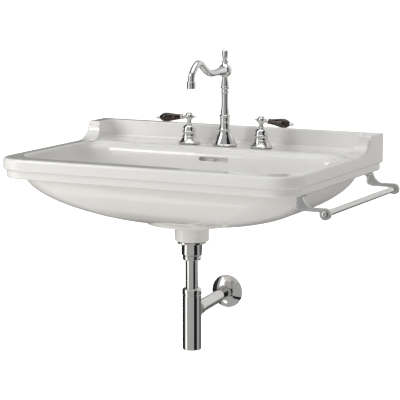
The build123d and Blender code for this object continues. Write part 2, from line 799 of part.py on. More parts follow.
with BuildPart() as spout_shank:
    with BuildSketch(Plane.XY.offset(shank_end)):
        with Locations(spout_at):
            Circle(shank_d / 2)
    extrude(amount=shank_hold - 0.5 - shank_end)
    with BuildSketch(Plane.YZ.offset(-shank_d / 2 - 14)):
        with Locations((tap_y, stub_z)):
            Circle(7)
    extrude(amount=shank_d + 28)
    with Locations((0, tap_y, stub_z - 4)):
        Cylinder(
            shank_bore / 2, shank_l + shank_hold, align=upwards,
            mode=Mode.SUBTRACT,
        )
    with BuildSketch(Plane.YZ.offset(-shank_d / 2 - 15)):
        with Locations((tap_y, stub_z)):
            Circle(4)
    extrude(amount=shank_d + 30, mode=Mode.SUBTRACT)
save(spout_shank, "spout_shank")

# swan neck: level run from the hub, up over the crest and down to the nozzle
hub_height = deck_z + hub_z
nozzle_top = deck_z + spout_outlet_z + nozzle_h
outlet_y = tap_y - spout_reach
spout_base = deck_z + swivel_z + 0.3
pin_end = spout_base - swivel_pin_l
throat_r = sqrt(hub_d**2 / 4 - 15.2**2)
crown_r = sqrt(hub_d**2 / 4 - 13.7**2)

with BuildPart() as spout:
    with BuildSketch(upright_plane(*spout_at)):
        with BuildLine():
            pin = Polyline(
                (0, pin_end), (swivel_pin_d / 2, pin_end), (swivel_pin_d / 2, spout_base), (9, spout_base)
            )
            collar = ThreePointArc(pin @ 1, (9.2, spout_base + 6), (8.4, spout_base + 11))
            throat = Spline(
                collar @ 1, (7, deck_z + 171), (throat_r, hub_height - 15.2),
                tangents=((-0.2, 1), (0.8, 0.6)),
            )
            ball = ThreePointArc(throat @ 1, (hub_d / 2, hub_height), (crown_r, hub_height + 13.7))
            crown_neck = Spline(
                ball @ 1, (6.8, deck_z + finial_root_z), tangents=((-1, 0.8), (0, 1))
            )
            Polyline(crown_neck @ 1, (0, deck_z + finial_root_z), (0, pin_end))
        make_face()
    revolve(axis=upright_axis(*spout_at))
    with BuildLine() as swan_neck:
        Spline(
            (0, tap_y - 8, hub_height + 0.5), (0, tap_y - 62, hub_height - 1.5),
            (0, tap_y - 86, hub_height - 0.5), (0, tap_y - 118, hub_height + 13),
            (0, tap_y - 149, hub_height + 28), (0, tap_y - 178, hub_height + 12),
            (0, outlet_y, nozzle_top - 1),
            tangents=((0, -1, 0), (0, 0, -1)),
        )
    with BuildSketch(Plane(origin=swan_neck.line @ 0, x_dir=(1, 0, 0), z_dir=(0, -1, 0))):
        Circle(spout_d / 2)
    sweep()
    # flare where the neck leaves the hub
    with BuildSketch(Plane(origin=(0, tap_y - 10, hub_height + 0.5), x_dir=(1, 0, 0), z_dir=(0, -1, 0))):
        Circle(spout_d / 2 + 4)
    with BuildSketch(Plane(origin=(0, tap_y - 48, hub_height - 1), x_dir=(1, 0, 0), z_dir=(0, -1, 0))):
        Circle(spout_d / 2)
    loft()
    # nozzle
    with BuildSketch(Plane.XY.offset(deck_z + spout_outlet_z + aerator_h)):
        with Locations((0, outlet_y)):
            Circle(nozzle_d / 2)
    extrude(amount=nozzle_h - aerator_h)
    fillet(spout.edges().filter_by(GeomType.CIRCLE).filter_by(
        lambda edge: abs(edge.radius - nozzle_d / 2) < 0.01 and edge.center().Z > nozzle_top - 1
    ), 1.5)
    # waterway
    with BuildSketch(Plane(origin=swan_neck.line @ 0, x_dir=(1, 0, 0), z_dir=(0, -1, 0))):
        Circle(spout_bore / 2)
    sweep(path=swan_neck.line, mode=Mode.SUBTRACT)
    with Locations((0, outlet_y, deck_z + spout_outlet_z)):
        Cylinder(nozzle_d / 2 - 2, nozzle_h - 3, align=upwards, mode=Mode.SUBTRACT)
    with Locations((0, tap_y, pin_end - 1)):
        Cylinder(3.2, hub_height - pin_end + 3, align=upwards, mode=Mode.SUBTRACT)
    # threaded seat of the finial
    with Locations((0, tap_y, deck_z + finial_root_z)):
        Cylinder(3, 14, mode=Mode.SUBTRACT)
    # seal grooves on the pin
    for groove in (4, 10):
        with Locations((0, tap_y, pin_end + groove)):
            Cylinder(swivel_pin_d / 2 + 1, 2, mode=Mode.SUBTRACT)
            Cylinder(swivel_pin_d / 2 - 0.9, 2)
            Cylinder(3.2, 2, mode=Mode.SUBTRACT)
save(spout, "spout")

with BuildPart() as spout_seals:
    for groove in (4, 10):
        with Locations((0, tap_y, pin_end + groove)):
            Cylinder(swivel_pin_d / 2, 1.8)
    with Locations((0, tap_y, pin_end + 7)):
        Cylinder(swivel_pin_d / 2 - 0.85, 20, mode=Mode.SUBTRACT)
save(spout_seals, "spout_seals")

with BuildPart() as finial:
    with BuildSketch(upright_plane(*spout_at)):
        with BuildLine():
            root = Polyline(
                (0, deck_z + finial_root_z - 6), (2.9, deck_z + finial_root_z - 6),
                (2.9, deck_z + finial_root_z), (6.8, deck_z + finial_root_z),
                (8.4, deck_z + finial_root_z + 3), (8.4, deck_z + finial_root_z + 4.5),
                (4, deck_z + finial_root_z + 7.5),
            )
            Spline(
                root @ 1, (7.3, deck_z + finial_root_z + 19), (0, deck_z + finial_top_z),
                tangents=((0.6, 1), (-1, 0)),
            )
            Line((0, deck_z + finial_top_z), (0, deck_z + finial_root_z - 6))
        make_face()
    revolve(axis=upright_axis(*spout_at))
save(finial, "spout_finial")

with BuildPart() as aerator_ring:
    with BuildSketch(Plane.XY.offset(deck_z + spout_outlet_z)):
        with Locations((0, outlet_y)):
            Circle(nozzle_d / 2)
            Circle(nozzle_d / 2 - 4, mode=Mode.SUBTRACT)
    extrude(amount=aerator_h - 0.4)
    fillet(aerator_ring.edges().group_by(Axis.Z)[0], 0.6)
    with BuildSketch(Plane.XY.offset(deck_z + spout_outlet_z + aerator_h - 0.4)):
        with Locations((0, outlet_y)):
            Circle(nozzle_d / 2 - 2 - thread_gap)
            Circle(nozzle_d / 2 - 4, mode=Mode.SUBTRACT)
    extrude(amount=5)
save(aerator_ring, "aerator_ring")

with BuildPart() as aerator_insert:
    with BuildSketch(Plane.XY.offset(deck_z + spout_outlet_z + 1)):
        with Locations((0, outlet_y)):
            Circle(nozzle_d / 2 - 4.1)
    extrude(amount=aerator_h)
    with BuildSketch(Plane.XY.offset(deck_z + spout_outlet_z)):
        with Locations((0, outlet_y)):
            with GridLocations(2.4, 2.4, 4, 4):
                Circle(0.7)
    extrude(amount=aerator_h + 2, mode=Mode.SUBTRACT)
save(aerator_insert, "aerator_insert")

# ---- fixings under the deck ----

valve_spots = [(-tap_spacing, tap_y), (tap_spacing, tap_y)]
washer_z = deck_underside - rubber_t - clamp_washer_t
nut_z = washer_z - lock_nut_h


def lock_nuts(centres):
    """Hexagon nuts on the shanks under the deck."""
    with BuildPart() as piece:
        with BuildSketch(Plane.XY.offset(nut_z)):
            with Locations(*centres):
                RegularPolygon(lock_nut_af / 2, 6, major_radius=False)
                Circle(shank_d / 2 + thread_gap, mode=Mode.SUBTRACT)
        extrude(amount=lock_nut_h)
    return piece


washer_bore = shank_d + 0.4
seal_z = washer_z + clamp_washer_t
save(ring([spout_at], clamp_washer_d, washer_bore, seal_z, rubber_t), "spout_clamp_seal")
save(ring([spout_at], clamp_washer_d, washer_bore, washer_z, clamp_washer_t), "spout_clamp_washer")
save(lock_nuts([spout_at]), "spout_lock_nut")
save(ring(valve_spots, clamp_washer_d, washer_bore, seal_z, rubber_t), "valve_clamp_seals")
save(ring(valve_spots, clamp_washer_d, washer_bore, washer_z, clamp_washer_t), "valve_clamp_washers")
save(lock_nuts(valve_spots), "valve_lock_nuts")
save(ring(valve_spots, bell_d - 4, tap_hole_d, deck_z, gasket_t), "valve_gaskets")

# ---- valves and handles ----


def lever_piece(side, outline):
    """Piece turned about the lever's axis; outline is distance from the hub centre and radius."""
    lever_dir = Vector(
        side * cos(radians(lever_turn)) * cos(radians(lever_droop)),
        -sin(radians(lever_turn)) * cos(radians(lever_droop)),
        -sin(radians(lever_droop)),
    )
    hub_centre = Vector(side * tap_spacing, tap_y, deck_z + handle_hub_z)
    level_dir = Vector(0, 0, 1).cross(lever_dir).normalized()
    with BuildPart() as piece:
        with BuildSketch(Plane(origin=hub_centre, x_dir=lever_dir, z_dir=level_dir)):
            with BuildLine():
                outline()
            make_face()
        revolve(axis=Axis(hub_centre, lever_dir))
    return piece


def collar_outline():
    """Ring with a waist between the hub and the insert."""
    Polyline(
        (collar_start, lever_rod_d / 2 + 0.05), (collar_start, 3.4), (collar_start + 3, 3.4),
        (collar_start + 4, 5.4), (collar_start + 6, 5.8), (collar_start + 7, 4.9),
        (collar_start + 9, collar_d / 2), (collar_end, collar_d / 2), (collar_end, lever_rod_d / 2 + 0.05),
        close=True,
    )


def insert_outline():
    """Drop-shaped grip, widest towards its outer end."""
    grip = Spline(
        (collar_end, 6.5), (collar_end + 8, 7.1), (collar_end + 42, lever_max_d / 2), (lever_end, 4.2),
        tangents=((1, 0), (0.3, -1)),
    )
    Polyline(
        grip @ 1, (lever_end, lever_rod_d / 2 + 0.05), (collar_end, lever_rod_d / 2 + 0.05), grip @ 0
    )


def tip_outline():
    """Button on the end of the rod that runs through the grip into the hub."""
    cap = Polyline(
        (handle_hub_d / 2 - 3, 0), (handle_hub_d / 2 - 3, lever_rod_d / 2), (lever_end, lever_rod_d / 2),
        (lever_end, lever_tip_d / 2 + 0.4), (lever_end + 1.6, lever_tip_d / 2 + 0.4),
        (lever_end + 2.6, lever_tip_d / 2 - 0.8), (lever_end + 6, lever_tip_d / 2 - 0.2),
    )
    Spline(
        cap @ 1, (lever_tip_end - 1, lever_tip_d / 2 - 1.6), (lever_tip_end, 0), tangents=((1, 0), (0, -1))
    )
    Line((lever_tip_end, 0), (handle_hub_d / 2 - 3, 0))


def stub_outline():
    """Small pointed stub on the far side of the hub."""
    Polyline(
        (0, 0), (-6, 0), (-stub_reach, 0), (-stub_reach + 0.6, 1), (-13.5, 2.2), (-12.5, 3.4),
        (-10.5, 3.8), (-9, 5.4), (-4, 5.4), (0, 5.4), close=True,
    )


def hub_mass(centre):
    """Hub turned with its stem, hollow for the spindle and the cap."""
    hub_r = handle_hub_d / 2
    hub_level = deck_z + handle_hub_z
    hub_low = hub_level - sqrt(hub_r**2 - stem_d**2 / 4)
    hub_top_r = sqrt(hub_r**2 - 7.3**2)
    bell_top = deck_z + bell_h
    with BuildPart() as piece:
        with BuildSketch(upright_plane(*centre)):
            with BuildLine():
                stem = Polyline(
                    (spindle_d / 2 + 0.02, bell_top - 3), (stem_d / 2, bell_top - 3),
                    (stem_d / 2, bell_top + handle_gap), (stem_d / 2 + 1.4, bell_top + handle_gap),
                    (stem_d / 2 + 1.4, bell_top + 3), (stem_d / 2, bell_top + 4.5),
                    (stem_d / 2, hub_low),
                )
                ball = ThreePointArc(stem @ 1, (hub_r, hub_level), (hub_top_r, hub_level + 7.3))
                Polyline(
                    ball @ 1, (5.1, hub_level + 7.3), (5.1, hub_level + 3),
                    (spindle_d / 2 + 0.02, hub_level + 3), (spindle_d / 2 + 0.02, bell_top - 3),
                )
            make_face()
        revolve(axis=upright_axis(*centre))
    return piece


for name, side in (("hot", -1), ("cold", 1)):
    centre = (side * tap_spacing, tap_y)
    side_stub = Plane(origin=(side * tap_spacing, tap_y, stub_z), x_dir=(0, 1, 0), z_dir=(-side, 0, 0))

    with BuildPart() as bell:
        with BuildSketch(upright_plane(*centre)):
            with BuildLine():
                skirt = Polyline(
                    (valve_bore / 2 + thread_gap, deck_z + 30), (valve_bore / 2 + thread_gap, deck_z + 13),
                    (23, deck_z + 7), (24.5, deck_z + gasket_t), (bell_d / 2 - 0.8, deck_z + gasket_t),
                    (bell_d / 2, deck_z + gasket_t + 1), (bell_d / 2, deck_z + 6),
                    (bell_d / 2 - 1.5, deck_z + 7.5), (bell_d / 2 - 3, deck_z + 7.5),
                )
                flare = Spline(
                    skirt @ 1, (21, deck_z + 12), (18.2, deck_z + 17), tangents=((-1, 0.25), (-0.3, 1))
                )
                low_bead = ThreePointArc(flare @ 1, (19.3, deck_z + 19.2), (17.6, deck_z + 21.4))
                waist = Spline(
                    low_bead @ 1, (16.7, deck_z + 26), (16.9, deck_z + 30), tangents=((-0.2, 1), (0.1, 1))
                )
                mid_bead = ThreePointArc(waist @ 1, (18, deck_z + 32.2), (16.2, deck_z + 34.4))
                upper = Line(mid_bead @ 1, (15.9, deck_z + 40.5))
                shoulder = ThreePointArc(
                    upper @ 1, (13.6, deck_z + bell_h - 3.2), (bell_neck_d / 2 + 0.5, deck_z + bell_h)
                )
                Polyline(
                    shoulder @ 1, (stem_d / 2 + handle_gap / 2, deck_z + bell_h),
                    (stem_d / 2 + handle_gap / 2, deck_z + 37), (valve_bore / 2 + thread_gap, deck_z + 35.5),
                    (valve_bore / 2 + thread_gap, deck_z + 30),
                )
            make_face()
        revolve(axis=upright_axis(*centre))
    save(bell, f"{name}_bell")

    with BuildPart() as valve_body:
        with BuildSketch(upright_plane(*centre)):
            with BuildLine():
                Polyline(
                    (0, shank_end - inlet_l), (inlet_d / 2, shank_end - inlet_l), (inlet_d / 2, shank_end),
                    (shank_d / 2, shank_end), (shank_d / 2, deck_z + gasket_t), (20, deck_z + gasket_t),
                    (20, deck_z + gasket_t + 3), (valve_bore / 2, deck_z + gasket_t + 3),
                    (valve_bore / 2, deck_z + 34), (0, deck_z + 34), close=True,
                )
            make_face()
        revolve(axis=upright_axis(*centre))
        with BuildSketch(side_stub):
            Circle(7)
        extrude(amount=shank_d / 2 + 12)
        with Locations((side * tap_spacing, tap_y, deck_z + 6)):
            Cylinder(9, 60, align=upwards, mode=Mode.SUBTRACT)
        with Locations((side * tap_spacing, tap_y, shank_end - inlet_l - 1)):
            Cylinder(
                shank_bore / 2, shank_l + inlet_l + 8, align=upwards,
                mode=Mode.SUBTRACT,
            )
        with BuildSketch(side_stub):
            Circle(4)
        extrude(amount=shank_d / 2 + 13, mode=Mode.SUBTRACT)
    save(valve_body, f"{name}_valve_body")

    save(turned(centre, [
        (4.05, 12), (4.05, 34.5), (8.9, 34.5), (8.9, 6.1), (3, 6.1), (3, 12),
    ]), f"{name}_cartridge")
    save(turned(centre, [
        (0, 13), (spindle_d / 2, 13), (spindle_d / 2, handle_hub_z), (0, handle_hub_z),
    ]), f"{name}_spindle")

    stub = lever_piece(side, stub_outline)
    with BuildPart() as hub:
        add(hub_mass(centre).part)
        add(stub.part)
        with Locations((side * tap_spacing, tap_y, deck_z + handle_hub_z + 3)):
            Cylinder(
                spindle_d / 2 + 0.02, 60, align=downwards, mode=Mode.SUBTRACT
            )
            Cylinder(5.1, 20, align=upwards, mode=Mode.SUBTRACT)
        lever_hole = lever_piece(side, lambda: Polyline(
            (handle_hub_d / 2 - 3.2, 0), (handle_hub_d / 2 - 3.2, lever_rod_d / 2 + 0.05),
            (handle_hub_d, lever_rod_d / 2 + 0.05), (handle_hub_d, 0), close=True,
        ))
        add(lever_hole.part, mode=Mode.SUBTRACT)
        flat = lever_piece(side, lambda: Polyline(
            (collar_start, 0), (collar_start, 4.2), (handle_hub_d, 4.2), (handle_hub_d, 0), close=True,
        ))
        add(flat.part, mode=Mode.SUBTRACT)
    save(hub, f"{name}_hub")

    save(turned(centre, [
        (0, handle_hub_z + 3.2), (5, handle_hub_z + 3.2), (5, handle_hub_z + 7.4), (7.0, handle_hub_z + 7.4),
        (handle_cap_d / 2, handle_hub_z + 8), (handle_cap_d / 2, handle_cap_top - 0.6),
        (handle_cap_d / 2 - 0.6, handle_cap_top), (0, handle_cap_top),
    ]), f"{name}_cap")
    save(lever_piece(side, collar_outline), f"{name}_collar")
    save(lever_piece(side, insert_outline), f"{name}_lever")
    save(lever_piece(side, tip_outline), f"{name}_tip")

# ---- towel rail ----

rail_x = basin_width / 2 + rail_offset
rail_z = deck_z - rail_drop
root_in = basin_width / 2 - band_step - rail_root_width
root_out = basin_width / 2 - band_step
arm_top = rail_z + rail_boss_d / 2 - 0.5
arm_bottom = arm_top - rail_arm_h
for name, y, inward in bracket_spots:
    outer_y = y - inward * rail_bracket_t / 2
    with BuildPart() as bracket:
        with BuildSketch(Plane.XZ.offset(-y - rail_bracket_t / 2)):
            with BuildLine():
                root_side = Line((root_in, lower_bottom), (root_in, lower_bottom - rail_root_h))
                elbow = RadiusArc(root_side @ 1, (root_in + 20, arm_bottom), -30)
                arm_low = Line(elbow @ 1, (rail_x, arm_bottom))
                arm_end = Line(arm_low @ 1, (rail_x, arm_top))
                arm_high = Line(arm_end @ 1, (root_out + 20, arm_top))
                hook = RadiusArc(arm_high @ 1, (root_out, lower_bottom), 34)
                Line(hook @ 1, root_side @ 0)
            make_face()
            with Locations((rail_x, rail_z)):
                Circle(rail_boss_d / 2)
        extrude(amount=rail_bracket_t)
        # tab that the fixing screw goes through
        with Locations((root_in, y, lower_bottom)):
            Box(rail_root_width, rail_bracket_t / 2 + rail_tab_l, rail_tab_t,
                align=(Align.MIN, Align.MIN if inward > 0 else Align.MAX, Align.MAX))
        with Locations((rail_root_x, y + inward * screw_out, lower_bottom)):
            Cylinder(rail_screw_d / 2 + 0.2, 3 * rail_tab_t, mode=Mode.SUBTRACT)
        # socket for the bar's spigot, hole for the cap's thread, and the cap's seat
        inner_y = y + inward * rail_bracket_t / 2
        with BuildSketch(Plane(origin=(rail_x, inner_y, rail_z), z_dir=(0, inward, 0))):
            Circle(rail_spigot_d / 2 + 0.05)
        extrude(amount=-rail_spigot_l - 0.1, mode=Mode.SUBTRACT)
        with BuildSketch(Plane.XZ.offset(-y)):
            with Locations((rail_x, rail_z)):
                Circle(cap_thread_d / 2 + 0.1)
        extrude(amount=rail_bracket_t, both=True, mode=Mode.SUBTRACT)
        with BuildSketch(Plane(origin=(rail_x, outer_y, rail_z), z_dir=(0, inward, 0))):
            Circle(rail_cap_d / 2 + 0.1)
        extrude(amount=cap_seat + 0.05, mode=Mode.SUBTRACT)
    save(bracket, f"rail_{name}_bracket")

bar_middle = (rail_front_y + rail_back_y) / 2
bar_length = rail_back_y - rail_front_y - rail_bracket_t
spigot_end = bar_length / 2 + rail_spigot_l
with BuildPart() as bar:
    with BuildSketch(Plane.XZ.offset(-bar_middle)):
        with Locations((rail_x, rail_z)):
            Circle(rail_d / 2)
    extrude(amount=bar_length / 2, both=True)
    with BuildSketch(Plane.XZ.offset(-bar_middle)):
        with Locations((rail_x, rail_z)):
            Circle(rail_spigot_d / 2)
    extrude(amount=spigot_end, both=True)
    with BuildSketch(Plane.XZ.offset(-bar_middle)):
        with Locations((rail_x, rail_z)):
            Circle(cap_thread_d / 2 + 0.1)
    extrude(amount=spigot_end, both=True, mode=Mode.SUBTRACT)
save(bar, "rail_bar")

# domed screws that hold the bar in the bosses, and the screws up into the rim
cap_face_y = rail_front_y - rail_bracket_t / 2
with BuildPart() as end_caps:
    with BuildSketch(Plane(origin=(rail_x, cap_face_y, rail_z), x_dir=(1, 0, 0), z_dir=(0, 0, 1))):
        with BuildLine():
            cap_foot = Polyline(
                (0, rail_bracket_t), (cap_thread_d / 2, rail_bracket_t), (cap_thread_d / 2, cap_seat),
                (rail_cap_d / 2, cap_seat), (rail_cap_d / 2, -1),
            )
            cap_dome = Spline(
                cap_foot @ 1, (rail_cap_d / 2 - 2.2, 0.9 - rail_cap_h), (0, -rail_cap_h),
                tangents=((-0.1, -1), (-1, 0)),
            )
            Line(cap_dome @ 1, cap_foot @ 0)
        make_face()
    revolve(axis=Axis((rail_x, cap_face_y, rail_z), (0, 1, 0)))
    with BuildSketch(Plane.XZ.offset(rail_cap_h - cap_face_y)):
        with Locations((rail_x, rail_z)):
            RegularPolygon(3, 6)
    extrude(amount=-2.6, mode=Mode.SUBTRACT)
    mirror(about=Plane.XZ.offset(-bar_middle))
save(end_caps, "rail_end_caps")

with BuildPart() as fixing_screws:
    with BuildSketch(Plane.XY.offset(lower_bottom - rail_tab_t - rail_screw_head_h)):
        with Locations(*screw_spots):
            Circle(rail_screw_head_d / 2)
    extrude(amount=rail_screw_head_h)
    fillet(fixing_screws.edges().group_by(Axis.Z)[0], 1.2)
    with BuildSketch(Plane.XY.offset(lower_bottom - rail_tab_t - 0.5)):
        with Locations(*screw_spots):
            Circle(rail_screw_d / 2)
    extrude(amount=rail_screw_l + 0.5)
    with BuildSketch(Plane.XY.offset(lower_bottom - rail_tab_t - rail_screw_head_h)):
        with Locations(*screw_spots):
            Rectangle(rail_screw_head_d, 1.2)
            Rectangle(1.2, rail_screw_head_d)
    extrude(amount=1.4, mode=Mode.SUBTRACT)
save(fixing_screws, "rail_fixing_screws")
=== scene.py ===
import bpy
import bmesh
import json
from math import cos, pi, radians, sin
from mathutils import Matrix, Vector


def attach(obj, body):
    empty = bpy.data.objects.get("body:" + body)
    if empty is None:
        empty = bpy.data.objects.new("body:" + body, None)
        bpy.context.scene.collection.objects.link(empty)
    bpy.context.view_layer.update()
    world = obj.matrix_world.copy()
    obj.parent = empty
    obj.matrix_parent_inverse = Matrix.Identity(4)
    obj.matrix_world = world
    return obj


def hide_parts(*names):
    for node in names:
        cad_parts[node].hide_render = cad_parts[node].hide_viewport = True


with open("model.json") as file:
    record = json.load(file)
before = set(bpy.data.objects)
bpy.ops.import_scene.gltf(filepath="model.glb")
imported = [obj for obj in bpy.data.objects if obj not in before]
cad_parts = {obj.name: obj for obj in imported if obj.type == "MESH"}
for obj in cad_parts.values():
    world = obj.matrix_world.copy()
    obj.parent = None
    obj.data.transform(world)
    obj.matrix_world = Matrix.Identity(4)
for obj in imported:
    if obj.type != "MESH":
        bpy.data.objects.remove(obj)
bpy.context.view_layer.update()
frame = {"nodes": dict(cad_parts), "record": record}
print("scene: frame loaded")

deckZ = 0.036
tapPlace = (0.102, -0.08)

# ---- camera, room and light ----

room = {
    "cameraPlace": (1.9761, -4.1718, 0.5982),
    "cameraTurn": (81.21, 0.0, 26.58),
    "lens": 161.1,
    "floorZ": -0.76,
    "white": (0.93, 0.93, 0.925),
    "floorTone": (0.80, 0.78, 0.755),
    "diffuseStrength": 0.46,
    "mirrorStrength": 0.46,
    "floorGlow": 0.24,
    "backdropStrength": 1.2,
    "centre": (0.0, -0.25, 0.0),
    "sensorWidth": 36.0,
    "viewDistance": 50.0,
    "floorSize": 14.0,
    "topLightPlace": (0.2, -0.6, 3.2),
    "topLightSize": 2.6,
    "topLightPower": 16,
}
# boards that chrome reflects: name, turn to the camera's right, distance, width, height, centre height, tone
boards = [
    ("leftFlag", -137, 2.4, 4.2, 6.0, -0.2, "dark"),
    ("rightFlag", 44, 2.6, 1.9, 6.0, -0.2, "dark"),
    ("lowFlag", 20, 1.3, 2.2, 0.5, -1.5, "dark"),
    ("leftStrip", -74, 2.4, 0.95, 7.0, -0.4, "brilliant"),
    ("rightWall", 137, 2.9, 5.0, 4.0, 1.1, "pale"),
    ("rightLow", 137, 2.9, 5.0, 1.5, -1.65, "shade"),
    ("ceiling", 0, 0.0, 3.4, 3.4, 3.4, "bright"),
]
# softboxes: name, turn to the camera's right, distance, height, width, height, watts
lamps = [
    ("leftLight", -74, 2.6, 1.0, 1.0, 2.6, 40),
    ("rightLight", 120, 3.0, 0.8, 1.2, 2.4, 2),
]


def makeCamera():
    camera = bpy.data.objects.new("camera", bpy.data.cameras.new("camera"))
    camera.location = room["cameraPlace"]
    camera.rotation_euler = [radians(angle) for angle in room["cameraTurn"]]
    camera.data.sensor_width = room["sensorWidth"]
    camera.data.lens = room["lens"]
    camera.data.clip_end = room["viewDistance"]
    bpy.context.scene.collection.objects.link(camera)
    bpy.context.scene.camera = camera


def plainMaterial(name, colour, roughness=0.6, emission=0.0):
    material = bpy.data.materials.new(name)
    material.use_nodes = True
    shader = material.node_tree.nodes["Principled BSDF"]
    shader.inputs["Base Color"].default_value = (*colour, 1)
    shader.inputs["Roughness"].default_value = roughness
    if emission:
        shader.inputs["Emission Color"].default_value = (*colour, 1)
        shader.inputs["Emission Strength"].default_value = emission
    return material


def seenBy(tree, socket, diffuse, mirrored):
    # sets a strength by who looks: the camera, a mirror-like surface, or scattered light
    rays = tree.nodes.new("ShaderNodeLightPath")
    mirror = tree.nodes.new("ShaderNodeMapRange")
    mirror.inputs["To Min"].default_value = diffuse
    mirror.inputs["To Max"].default_value = mirrored
    direct = tree.nodes.new("ShaderNodeMix")
    direct.inputs["B"].default_value = room["backdropStrength"]
    tree.links.new(rays.outputs["Is Glossy Ray"], mirror.inputs["Value"])
    tree.links.new(rays.outputs["Is Camera Ray"], direct.inputs["Factor"])
    tree.links.new(mirror.outputs["Result"], direct.inputs["A"])
    tree.links.new(direct.outputs["Result"], socket)


def panel(name, size, place, lookAt, material):
    # a flat stage board facing a point
    mesh = bpy.data.meshes.new(name)
    bm = bmesh.new()
    bmesh.ops.create_grid(bm, x_segments=1, y_segments=1, size=0.5)
    bmesh.ops.scale(bm, verts=bm.verts, vec=(size[0], size[1], 1))
    turn = (Vector(lookAt) - Vector(place)).to_track_quat("Z", "Y").to_matrix()
    bmesh.ops.rotate(bm, verts=bm.verts, matrix=turn)
    bmesh.ops.translate(bm, verts=bm.verts, vec=place)
    bm.to_mesh(mesh)
    bm.free()
    board = bpy.data.objects.new(name, mesh)
    bpy.context.scene.collection.objects.link(board)
    mesh.materials.append(material)
    return board


def aroundCentre(turn, distance, height):
    # a place at a turn to the camera's right, seen from above
    angle = radians(room["cameraTurn"][2] + turn)
    centre = room["centre"]
    return (centre[0] + distance * sin(angle), centre[1] - distance * cos(angle), height)


def softbox(name, place, lookAt, size, power):
    light = bpy.data.lights.new(name, "AREA")
    light.shape = "RECTANGLE"
    light.size, light.size_y = size
    light.energy = power
    lamp = bpy.data.objects.new(name, light)
    lamp.location = place
    lamp.rotation_euler = (Vector(lookAt) - Vector(place)).to_track_quat("-Z", "Y").to_euler()
    bpy.context.scene.collection.objects.link(lamp)


makeCamera()
bpy.context.scene.view_settings.view_transform = "Standard"
world = bpy.data.worlds.new("studio")
world.use_nodes = True
sky = world.node_tree.nodes["Background"]
sky.inputs["Color"].default_value = (*room["white"], 1)
# the sky is brighter where it is seen directly, as an overexposed backdrop is
seenBy(world.node_tree, sky.inputs["Strength"], room["diffuseStrength"], room["mirrorStrength"])
bpy.context.scene.world = world
floorPale = plainMaterial("floorPale", room["floorTone"], 0.9, 1.0)
floorShader = floorPale.node_tree.nodes["Principled BSDF"]
floorShader.inputs["Emission Color"].default_value = (*room["white"], 1)
seenBy(floorPale.node_tree, floorShader.inputs["Emission Strength"], room["floorGlow"], 0.0)
floorSize = (room["floorSize"], room["floorSize"])
floor = panel("floor", floorSize, (0, 0, room["floorZ"]), (0, 0, 1), floorPale)
floor.visible_glossy = False
boardTones = {
    "dark": plainMaterial("darkBoard", (0.012, 0.012, 0.012), 0.9),
    "brilliant": plainMaterial("brilliantBoard", (0.8, 0.79, 0.78), 0.9, 1.35),
    "shade": plainMaterial("shadeBoard", (0.1, 0.1, 0.1), 0.9, 0.9),
    "pale": plainMaterial("paleBoard", (0.6, 0.6, 0.595), 0.9, 0.52),
    "bright": plainMaterial("brightBoard", (0.8, 0.8, 0.8), 0.9, 0.8),
}
for boardName, turn, distance, width, height, lift, tone in boards:
    faced = (*room["centre"][:2], lift)
    board = panel(boardName, (width, height), aroundCentre(turn, distance, lift), faced, boardTones[tone])
    board.visible_camera = False
    board.visible_diffuse = False
    board.visible_shadow = False
for lampName, turn, distance, lift, width, height, power in lamps:
    softbox(lampName, aroundCentre(turn, distance, lift), room["centre"], (width, height), power)
topSize = (room["topLightSize"], room["topLightSize"])
softbox("topLight", room["topLightPlace"], room["centre"], topSize, room["topLightPower"])
print("scene: camera, room and light")

# ---- finishes ----


def startGroup(name, inputs, outputs):
    group = bpy.data.node_groups.new(name, "ShaderNodeTree")
    for socketName, kind, value in inputs:
        socket = group.interface.new_socket(name=socketName, in_out="INPUT", socket_type=kind)
        if value is not None:
            socket.default_value = value
    for socketName, kind in outputs:
        group.interface.new_socket(name=socketName, in_out="OUTPUT", socket_type=kind)
    return group, group.nodes.new("NodeGroupInput"), group.nodes.new("NodeGroupOutput")


def mottleGroup():
    # cloudy tone between two values, for smudges, film and glaze
    group, given, result = startGroup(
        "mottle",
        [("Coordinates", "NodeSocketVector", None), ("Scale", "NodeSocketFloat", 20.0),
         ("Low", "NodeSocketFloat", 0.0), ("High", "NodeSocketFloat", 1.0)],
        [("Value", "NodeSocketFloat")],
    )
    noise = group.nodes.new("ShaderNodeTexNoise")
    noise.inputs["Detail"].default_value = 5.0
    noise.inputs["Roughness"].default_value = 0.6
    spread = group.nodes.new("ShaderNodeMapRange")
    spread.inputs["From Min"].default_value = 0.3
    spread.inputs["From Max"].default_value = 0.7
    link = group.links.new
    link(given.outputs["Coordinates"], noise.inputs["Vector"])
    link(given.outputs["Scale"], noise.inputs["Scale"])
    link(noise.outputs["Fac"], spread.inputs["Value"])
    link(given.outputs["Low"], spread.inputs["To Min"])
    link(given.outputs["High"], spread.inputs["To Max"])
    link(spread.outputs["Result"], result.inputs["Value"])
    return group


def spotGroup():
    # scattered dried water spots, as a mask
    group, given, result = startGroup(
        "waterSpots",
        [("Coordinates", "NodeSocketVector", None), ("Scale", "NodeSocketFloat", 60.0),
         ("Size", "NodeSocketFloat", 0.12)],
        [("Mask", "NodeSocketFloat")],
    )
    cells = group.nodes.new("ShaderNodeTexVoronoi")
    spread = group.nodes.new("ShaderNodeMapRange")
    spread.inputs["From Min"].default_value = 0.0
    spread.inputs["To Min"].default_value = 1.0
    spread.inputs["To Max"].default_value = 0.0
    link = group.links.new
    link(given.outputs["Coordinates"], cells.inputs["Vector"])
    link(given.outputs["Scale"], cells.inputs["Scale"])
    link(cells.outputs["Distance"], spread.inputs["Value"])
    link(given.outputs["Size"], spread.inputs["From Max"])
    link(spread.outputs["Result"], result.inputs["Mask"])
    return group


